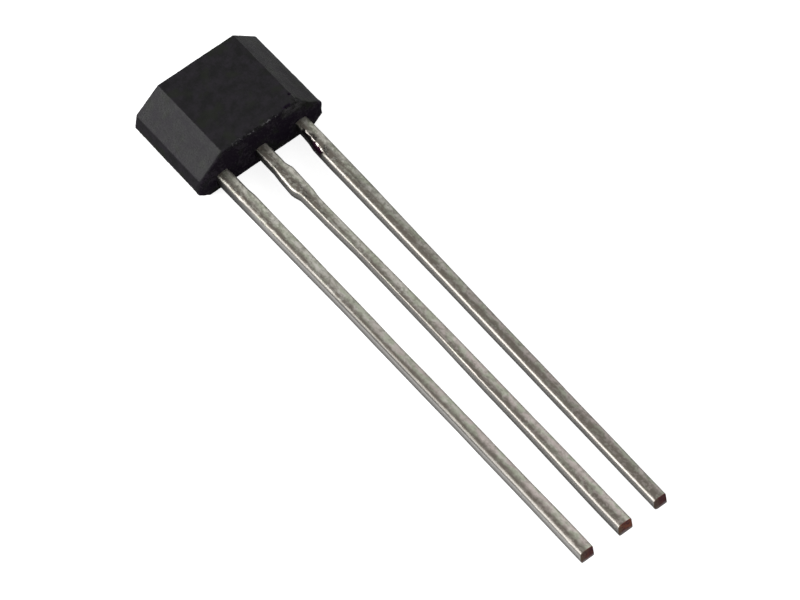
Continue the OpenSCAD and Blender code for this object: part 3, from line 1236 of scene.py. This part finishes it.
    def marked(self, skin: Skin) -> Tuple[Skin, np.ndarray]:
        """Adds the marks of moulding and handling.

        Formula: each point moves along its normal by the sum of a slow ripple, shallow dents
        and chips along the edges, a broken facet over the leads, swellings of the right
        shoulder, the left side and the left foot, a parting line, a pit, an ejector mark and
        a gate scar.

        Args:
            skin: the plain surface.

        Returns:
            The marked surface, and how worn each point is, with painted light on the broken
            facet: up to 1, and below 0 for painted shade in the pit and along the rim.
        """
        m = self.marks
        points, normals = skin.rows, skin.normals()
        x, y, z = np.moveaxis(points, -1, 0)
        near, wide = (self.edge_nearness(points, reach) for reach in m.edge_reach)
        coarse, rough = ripple(points, *m.coarse), ripple(points, *m.rough)
        below = self.thickness - z + 0.05 * coarse
        gate = self.gate(x, y, z)

        over_leads = zone(y, m.chipped_y) * zone(z, m.chipped_z)
        over_leads *= zone(np.abs(x - m.chipped_x), m.chipped_half)
        chips = zone(coarse * 0.6 + rough * 0.8, m.chip_slope)
        facet = zone(np.abs(x - m.facet_x) + 0.06 * rough, m.facet_half)
        facet *= zone(y, m.facet_y) * zone(below, m.facet_below)
        pit = np.hypot(x - m.pit_x, (y - m.pit_y) * 1.3) + 0.012 * rough
        pit = (z > self.thickness - 0.03) * zone(pit, (m.pit_r, 0.01))
        wall = zone(np.hypot(normals[..., 0], normals[..., 1]), (0.5, 0.9))
        seam = wall * np.exp(-((z - self.parting_z) / m.seam_w) ** 2)

        shift = (m.wave_depth * ripple(points, *m.slow) - m.back_inset * (z < m.back_z)
                 - m.dent_depth * near * (np.abs(rough) + chips)
                 - m.chip_depth * wide * over_leads * chips
                 - m.facet_depth * facet * (1.0 + 0.4 * rough)
                 + m.swelling(x, y, z) + m.seam_h * seam * (1.0 + 0.5 * rough)
                 - m.pit_depth * pit - self.ejector_depth * self.ejector(x, y, z)
                 + gate * (self.gate_proud + 0.012 * rough))

        specks = zone(ripple(points, *m.speck) + 0.5 * coarse, (-0.1, 0.5))
        scuffed = wide * over_leads * (0.05 + 0.9 * specks) * (x < m.pale_until_x)
        wear_and_shading = np.clip(near * (0.12 + 0.2 * rough) + scuffed, 0.0, 1.0)
        # Painted shadow: a dark line along the top of the broken facet.
        rim = zone(np.abs(x - m.rim_x), m.rim_half) * zone(y, m.rim_y) * zone(rough, (-0.6, 0.2))
        rim *= np.exp(-((below - m.rim_below) / m.rim_w) ** 2)
        # The broken facet is painted paler as lit, and the pit and the rim get painted shade.
        wear_and_shading = (np.maximum(wear_and_shading, 0.4 * gate) + facet * (0.64 + 0.2 * coarse)
                - 4.0 * pit - 1.3 * rim)
        return Skin(points + shift[..., None] * normals), wear_and_shading

    def build(self, finish: MouldedEpoxy) -> bpy.types.Object:
        """Makes and dresses the body.

        Args:
            finish: the resin.

        Returns:
            The piece, which replaces the body's node.
        """
        skin, wear_and_shading = self.marked(self.skin())
        mesh = skin.mesh("body_moulding")
        store(mesh, "edge_wear_and_shading", "FLOAT", with_poles(wear_and_shading))
        mesh.materials.append(finish.make(-self.length / 2.0,
                                          self.thickness - self.front_chamfer))
        return add_piece(mesh, "epoxy", "body")


# ------------------------------------------------------------------ leads


class Side(Enum):
    """Which lead of the row."""

    SUPPLY = -1
    GROUND = 0
    OUTPUT = 1


@dataclass
class Lead:
    """One stamped and tinned lead: a bar with rolled front edges and a cropped end.

    The cuts are pairs of distance from the body and how far that side stands out, in
    millimetres; negative where the shear bit in. The roll and burr are the radii of the left
    edges, by the body and at the tip.
    """

    side: Side
    node: str
    finish: TinnedLead
    left_cut: Tuple[Tuple[float, float], ...]
    right_cut: Tuple[Tuple[float, float], ...]
    left_roll: Tuple[float, float]
    left_burr: Tuple[float, float] = (0.03, 0.05)
    tip_drift: float = 0.0
    pitch: float = 1.27
    width: float = 0.40
    thickness: float = 0.38
    length: float = 14.5
    bottom: float = 0.33
    seat: float = -1.37
    right_roll: float = 0.08
    right_burr: float = 0.03
    crown: float = 0.008
    roll_change: Slope = (6.0, 13.0)
    tip_r: Tuple[float, float] = (0.010, 0.030)
    tip_l: float = 0.1
    tip_dish: float = 0.012
    end_lean: float = 0.03
    wave_depth: float = 0.005
    nick_depth: float = 0.010
    torn_from: float = -0.09
    buried: float = 0.13
    seed: int = 1

    def section(self, left_roll: float, left_burr: float) -> np.ndarray:
        """The section of the bar about its middle, with rolled front edges.

        Args:
            left_roll: radius of the front edge on the left.
            left_burr: radius of the back edge on the left.

        Returns:
            Its points, as x and z.
        """
        half_w, half_t = self.width / 2.0, self.thickness / 2.0
        corners = [(half_w, -half_t), (half_w, half_t), (-half_w, half_t), (-half_w, -half_t)]
        radii = [self.right_burr, self.right_roll, left_roll, left_burr]
        bar = Polygon(np.array(corners), np.array(radii), np.array([9, 9, 9, 12]), 9)
        return bar.outline()[:, :2]

    def turn(self) -> np.ndarray:
        """Finds which way the section faces.

        Formula: the angle of the step from the point before to the point after, in quarters.

        Returns:
            For each point 0 for up, 1 for right, -1 for left and 2 or -2 for down.
        """
        outline = self.section(self.left_roll[0], self.left_burr[0])
        along = np.roll(outline, -1, axis=0) - np.roll(outline, 1, axis=0)
        return np.arctan2(along[:, 1], -along[:, 0]) / (np.pi / 2.0)

    def spine(self, distance: np.ndarray) -> np.ndarray:
        """Sideways place of the lead's middle: its pitch, and a lean that grows to the tip."""
        share = np.clip(distance / self.length, 0.0, 1.0)
        return self.side.value * self.pitch + self.tip_drift * share

    def cut(self, stations: Tuple[Tuple[float, float], ...], distance: np.ndarray) -> np.ndarray:
        """How far one side stands out at each distance, from its stations."""
        places, proud = zip(*stations)
        return np.interp(distance, places, proud)

    def rings(self) -> Tuple[np.ndarray, np.ndarray]:
        """Each ring's distance from the body, and how it is drawn in at the cropped end.

        Returns:
            Distances, and a pair for each ring: the turn of the tip's rounding from 0 to a
            right angle, and the share of the section that is left.
        """
        tip_y, finer_until = self.length - self.tip_l, 2.5
        near = np.arange(-self.buried, finer_until, 0.03)
        far = np.arange(finer_until, tip_y, 0.05)
        tip = np.linspace(tip_y, self.length, 5)
        plain = np.concatenate([near, far, tip])
        turns = np.linspace(0.0, np.pi / 2.0, 7)[1:]
        shares = np.array([0.8, 0.6, 0.4, 0.2, 0.08])
        closing = np.concatenate([np.column_stack([turns, np.ones(len(turns))]),
                                  np.column_stack([np.full(len(shares), np.pi / 2.0), shares])])
        plain_rings = np.column_stack([np.zeros(len(plain)), np.ones(len(plain))])
        distances = np.concatenate([plain, np.full(len(closing), self.length)])
        return distances, np.concatenate([plain_rings, closing])

    def skin(self) -> Tuple[Skin, np.ndarray]:
        """The bar's surface.

        Formula: the section is carried along the lead, while its left edges change evenly
        from the body to the tip. Its left and right halves are scaled to the cuts, the front
        is crowned by c(1 - (x/w)^2), all is waved by slow ripples and nicked, and the torn
        stretch falls away towards its left edge. The end, which leans back towards the front,
        is rounded by shrinking the section by r(1 - cos a) against r(1 - sin a) short of the
        tip.

        Returns:
            The surface, and lead_space: each point's place across, along and above the middle.
        """
        distances, closing = self.rings()
        half_w, half_t = self.width / 2.0, self.thickness / 2.0
        far = distances[:, None]
        turn, share = closing[:, :1], closing[:, 1:]
        by_body, by_tip = (self.section(*pair) for pair in zip(self.left_roll, self.left_burr))
        outline = by_body + (by_tip - by_body) * zone(far, self.roll_change)[..., None]
        base, level = outline[..., 0], outline[..., 1]

        back_r, front_r = self.tip_r
        tip_r = back_r + (front_r - back_r) * zone(level, (-half_t, half_t))
        shrink = tip_r * (1.0 - np.cos(turn))
        across = base * (1.0 - shrink / half_w) * share
        height = level * (1.0 - shrink / half_t) * share
        end = self.length - tip_r - self.end_lean * level * share / half_t
        begin = self.length - self.tip_l
        reach = np.where(far > begin, begin + (far - begin) * (end - begin) / self.tip_l, far)
        along = reach + tip_r * np.sin(turn) - self.tip_dish * (1.0 - share ** 2) * (share < 1.0)
        along = along * np.ones_like(across)

        spot = np.stack([across, along, height], axis=-1)
        slow = ripple(spot * np.array([1.0, 0.35, 1.0]), 0.9, self.seed)
        nicks = zone(ripple(spot * np.array([1.0, 0.6, 1.0]), 0.22, self.seed + 7), (0.8, 1.4))
        left, right = (half_w + self.cut(stations, along)
                       for stations in (self.left_cut, self.right_cut))
        wide = across * np.where(across > 0.0, right, left) / half_w
        wide = wide + self.wave_depth * slow * np.sign(across) * (np.abs(across) > half_w * 0.5)
        crown = self.crown * (1.0 - (across / half_w) ** 2)
        height = height + (crown - self.nick_depth * nicks) * (height > half_t * 0.5)
        if self.finish.shear_patch:
            first, last = self.finish.shear_patch
            torn = zone(along, (first, first + 0.1), (last, last - 0.15)) * (height > 0.0)
            height = height - 0.8 * torn * np.maximum(self.torn_from - wide, 0.0)

        place = [self.spine(along) + wide, self.seat - along, self.bottom + half_t + height]
        return (Skin(np.stack(place, axis=-1)), np.stack([wide, along, height], axis=-1))

    def inner_end(self) -> Tuple[np.ndarray, List[Tuple[int, ...]]]:
        """The stamped end inside the resin, from a merged copy of the node's own mesh.

        Returns:
            Its vertices in millimetres, and its faces, closed where it was cut from the bar.
        """
        form = bmesh.new()
        form.from_mesh(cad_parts[self.node].data)
        bmesh.ops.remove_doubles(form, verts=form.verts, dist=1e-7)
        keep_from = (self.seat + self.buried - 0.03) * MM
        everything = form.verts[:] + form.edges[:] + form.faces[:]
        cut = bmesh.ops.bisect_plane(form, geom=everything, plane_co=(0.0, keep_from, 0.0),
                                     plane_no=(0.0, 1.0, 0.0), clear_inner=True)
        rim = [e for e in cut["geom_cut"] if isinstance(e, bmesh.types.BMEdge)]
        bmesh.ops.holes_fill(form, edges=rim, sides=0)
        bmesh.ops.recalc_face_normals(form, faces=form.faces)
        form.verts.index_update()
        points = np.array([v.co for v in form.verts]) / MM
        faces = [tuple(v.index for v in f.verts) for f in form.faces]
        form.free()
        return points, faces

    def build(self) -> bpy.types.Object:
        """Makes and dresses the lead.

        Returns:
            The piece: bar and stamped end in one, which replaces the lead's node.
        """
        skin, space = self.skin()
        bar = skin.mesh(self.node + "_bar")
        bar_points = np.empty(len(bar.vertices) * 3)
        bar.vertices.foreach_get("co", bar_points)
        bar_faces = [tuple(p.vertices) for p in bar.polygons]
        points, faces = self.inner_end()
        offset = len(bar.vertices)
        merged = bpy.data.meshes.new(self.node + "_tinned")
        merged.from_pydata(bar_points.reshape(-1, 3).tolist() + (points * MM).tolist(), [],
                           bar_faces + [tuple(i + offset for i in f) for f in faces])
        smooth = np.arange(len(merged.polygons)) < len(bar_faces)
        merged.polygons.foreach_set("use_smooth", smooth)
        merged.update()
        bpy.data.meshes.remove(bar)
        inner = points - [self.side.value * self.pitch, self.seat,
                          self.bottom + self.thickness / 2.0]
        inner[:, 1] *= -1.0
        store(merged, "lead_space", "FLOAT_VECTOR", np.concatenate([with_poles(space), inner]))
        turns = np.broadcast_to(self.turn(), space.shape[:2])
        store(merged, "lead_turn", "FLOAT", np.concatenate([with_poles(turns),
                                                            np.zeros(len(inner))]))
        merged.materials.append(self.finish.make(self.length, self.thickness / 2.0,
                                                 self.end_lean))
        return add_piece(merged, "tinned_lead", self.node)


@dataclass
class LeadFrame:
    """The three leads, as the dam bar shear left them."""

    def leads(self) -> List[Lead]:
        """Describes the leads.

        Returns:
            The leads, from supply to output.
        """
        supply = TinnedLead("tinned_supply", 1.3, tip_glow=0.35, tone=1.12, tip_shine=0.6,
                            reflection_band_to=0.075, evenness=0.7, side_tone=1.0,
                            polish_and_highlight_by=(0.14, 0.0, 0.12))
        ground = TinnedLead("tinned_ground", 4.7, tip_glow=1.0, tone=1.18, tip_shine=0.0,
                            reflection_band_to=0.115, evenness=0.4, side_tone=0.9,
                            polish_and_highlight_by=(0.46, 0.34, 0.18), reflection_band_by_body=0.06)
        output = TinnedLead("tinned_output", 8.2, tip_glow=0.2, tone=0.88, tip_shine=0.0,
                            reflection_band_to=0.13, evenness=0.2, side_tone=0.85,
                            polish_and_highlight_by=(0.28, 0.28, 0.26), shear_patch=(0.22, 1.2))
        return [
            Lead(Side.SUPPLY, "lead_supply", supply,
                 left_cut=((2.3, -0.012), (4.0, -0.030), (8.5, -0.024), (10.5, -0.008),
                           (13.0, 0.010), (14.5, 0.028)),
                 right_cut=((0.8, -0.004), (1.05, 0.024), (1.6, 0.026), (2.8, 0.028),
                            (4.0, 0.012), (5.0, 0.006), (9.0, 0.002), (13.0, 0.0), (14.5, -0.012)),
                 left_roll=(0.11, 0.11), tip_drift=0.045, seed=11),
            Lead(Side.GROUND, "lead_ground", ground,
                 left_cut=((0.75, -0.018), (1.0, 0.010), (1.5, 0.042), (1.62, 0.026),
                           (1.8, -0.036), (2.8, -0.054), (4.0, -0.096), (5.2, -0.080),
                           (8.5, -0.054), (10.5, -0.024), (12.0, -0.006), (13.8, 0.022)),
                 right_cut=((0.3, -0.014), (0.78, -0.014), (1.0, 0.052), (1.85, 0.036),
                            (2.15, 0.0), (4.0, 0.003), (6.2, 0.025), (7.5, 0.03), (10.5, 0.03),
                            (12.0, 0.022), (14.5, 0.022)),
                 left_roll=(0.075, 0.10), left_burr=(0.10, 0.05), tip_drift=-0.002, seed=23),
            Lead(Side.OUTPUT, "lead_output", output,
                 left_cut=((0.3, -0.060), (0.55, -0.046), (0.8, -0.002), (1.5, 0.012),
                           (2.8, 0.004), (6.2, -0.002), (10.0, 0.014), (14.5, 0.034)),
                 right_cut=((0.0, 0.022), (0.7, 0.034), (2.8, 0.036), (5.0, 0.006),
                            (6.2, 0.0), (9.0, -0.018), (12.0, -0.026), (14.5, -0.030)),
                 left_roll=(0.10, 0.085), left_burr=(0.075, 0.10), tip_drift=-0.099, seed=37)]

    def build(self) -> None:
        """Makes and dresses each lead."""
        for lead in self.leads():
            piece = lead.build()
            LOG.info("%s: %d faces, tip off its pitch by %.3f mm", piece.name,
                     len(piece.data.polygons), lead.tip_drift)


# ------------------------------------------------------------------ chip and wires


@dataclass
class ChipAndWires:
    """The chip, its adhesive and its bond wires, which keep their own solids."""

    die_y: float = 0.16
    die_half: Tuple[float, float] = (0.5, 0.6)
    face_z: float = 0.985
    pads: Tuple[Tuple[float, float], ...] = ((-0.36, -0.22), (0.0, -0.32), (0.36, -0.22))

    def dress(self) -> None:
        """Gives each node its finish."""
        chip = PatternedSilicon((0.0, self.die_y), self.die_half, self.face_z, self.pads)
        finishes = {"die_attach": SilverAdhesive().make(), "die": chip.make()}
        gold = GoldWire().make()
        finishes.update({name: gold for name in ("wire_supply", "wire_ground", "wire_output")})
        for name, material in finishes.items():
            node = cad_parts[name]
            for place in range(max(1, len(node.material_slots))):
                if place >= len(node.data.materials):
                    node.data.materials.append(material)
                node.material_slots[place].material = material
            LOG.info("%s: finished in %s", name, material.name)


# ------------------------------------------------------------------ studio


@dataclass(frozen=True)
class SoftLamp:
    """A rectangular lamp, placed by its direction from the part and aimed at the body."""

    name: str
    bearing: Tuple[float, float]
    distance: float
    size: Tuple[float, float]
    power: float

    def build(self, aim: np.ndarray) -> None:
        """Adds the lamp.

        Args:
            aim: the point that it faces, in metres.
        """
        data = bpy.data.lights.new(self.name, "AREA")
        data.shape, data.size, data.size_y = "RECTANGLE", *self.size
        data.energy = self.power
        hang(data, aim, self.bearing, self.distance)


def hang(data: bpy.types.ID, aim: np.ndarray, bearing: Tuple[float, float],
         distance: float) -> bpy.types.Object:
    """Adds a lamp or camera that faces a point; both look along their own -Z.

    Args:
        data: the lamp or camera.
        aim: the point, in metres.
        bearing: azimuth and elevation of the place as seen from the point, in degrees.
        distance: how far off it is, in metres.

    Returns:
        The object.
    """
    a, e = (math.radians(angle) for angle in bearing)
    back = np.array([math.sin(a) * math.cos(e), -math.cos(a) * math.cos(e), math.sin(e)])
    made = bpy.data.objects.new(data.name, data)
    made.location = aim + back * distance
    made.rotation_euler = Vector(-back).to_track_quat("-Z", "Y").to_euler()
    bpy.context.scene.collection.objects.link(made)
    return made


@dataclass
class Studio:
    """A plain pale floor, soft lamps, a white surround and the camera."""

    bearing: Tuple[float, float] = (-39.2896, 57.9894)
    distance: float = 155.4067
    target: Tuple[float, float, float] = (-0.2168, -7.2813, 0.75)
    focal_px: float = 39.4132 * 155.4067
    frame_px: float = 800.0
    sensor: float = 36.0
    floor_half: float = 3.0
    floor_drop: float = 0.002
    floor_colour: Colour = (0.45, 0.45, 0.45)
    floor_glow: float = 0.82
    sky: float = 0.5

    def lamps(self) -> List[SoftLamp]:
        """The lamps: a long key low at the back left, and a broad fill overhead."""
        return [SoftLamp("key", (-116.0, 29.0), distance=0.36, size=(0.34, 0.18), power=2.0),
                SoftLamp("overhead", (70.0, 72.0), distance=0.6, size=(0.6, 0.6), power=0.8)]

    def camera(self) -> None:
        """Adds the camera. Its lens follows from the focal length in pixels of the frame."""
        data = bpy.data.cameras.new("camera")
        data.sensor_fit, data.sensor_width = "HORIZONTAL", self.sensor
        data.lens = self.focal_px * self.sensor / self.frame_px
        data.clip_start, data.clip_end = 0.01, 20.0
        target = np.array(self.target) * MM
        bpy.context.scene.camera = hang(data, target, self.bearing, self.distance * MM)

    def floor(self) -> bpy.types.Object:
        """Adds the floor, a hair below the part, which glows to the camera alone.

        Returns:
            The floor.
        """
        half, low = self.floor_half, -self.floor_drop * MM
        mesh = bpy.data.meshes.new("floor")
        mesh.from_pydata([(-half, -half, low), (half, -half, low), (half, half, low),
                          (-half, half, low)], [], [(0, 1, 2, 3)])
        paint = Paint("pale_floor")
        seen = paint.node("ShaderNodeLightPath", output="Is Camera Ray")
        paint.feed("Base Color", self.floor_colour)
        paint.feed("Roughness", 0.9)
        paint.feed("Specular IOR Level", 0.0)
        paint.feed("Emission Color", paint.blend(seen, (0.0, 0.0, 0.0), (1.0, 1.0, 1.0)))
        paint.feed("Emission Strength", self.floor_glow)
        mesh.materials.append(paint.material)
        floor = bpy.data.objects.new("floor", mesh)
        bpy.context.scene.collection.objects.link(floor)
        return floor

    def surround(self) -> None:
        """Lights the part evenly, and shows white to the camera and in reflections."""
        world = bpy.data.worlds.new("surround")
        bpy.context.scene.world = world
        world.use_nodes = True
        tree = NodeTree(world.node_tree)
        path = tree.node("ShaderNodeLightPath")
        rays = path.socket.node.outputs
        white = Signal(tree, rays["Is Camera Ray"])
        white = white.highest(Signal(tree, rays["Is Glossy Ray"]))
        white = white.highest(Signal(tree, rays["Is Transmission Ray"]))
        background = next(n for n in world.node_tree.nodes if n.type == "BACKGROUND")
        tree.plug(background.inputs["Color"], (1.0, 1.0, 1.0, 1.0))
        tree.plug(background.inputs["Strength"], self.sky + (1.0 - self.sky) * white)

    def build(self) -> None:
        """Sets up the whole studio."""
        bpy.context.scene.view_settings.view_transform = "Standard"
        self.camera()
        self.floor()
        self.surround()
        for lamp in self.lamps():
            lamp.build(np.zeros(3))


def main() -> None:
    """Builds the pieces in order and reports each one."""
    logging.basicConfig(level=logging.INFO, format="%(name)s %(message)s")
    Studio().build()
    LOG.info("studio: camera, floor and lamps")
    body = MouldedBody().build(MouldedEpoxy())
    LOG.info("%s: %d faces", body.name, len(body.data.polygons))
    LeadFrame().build()
    ChipAndWires().dress()


if __name__ == "__main__":
    main()
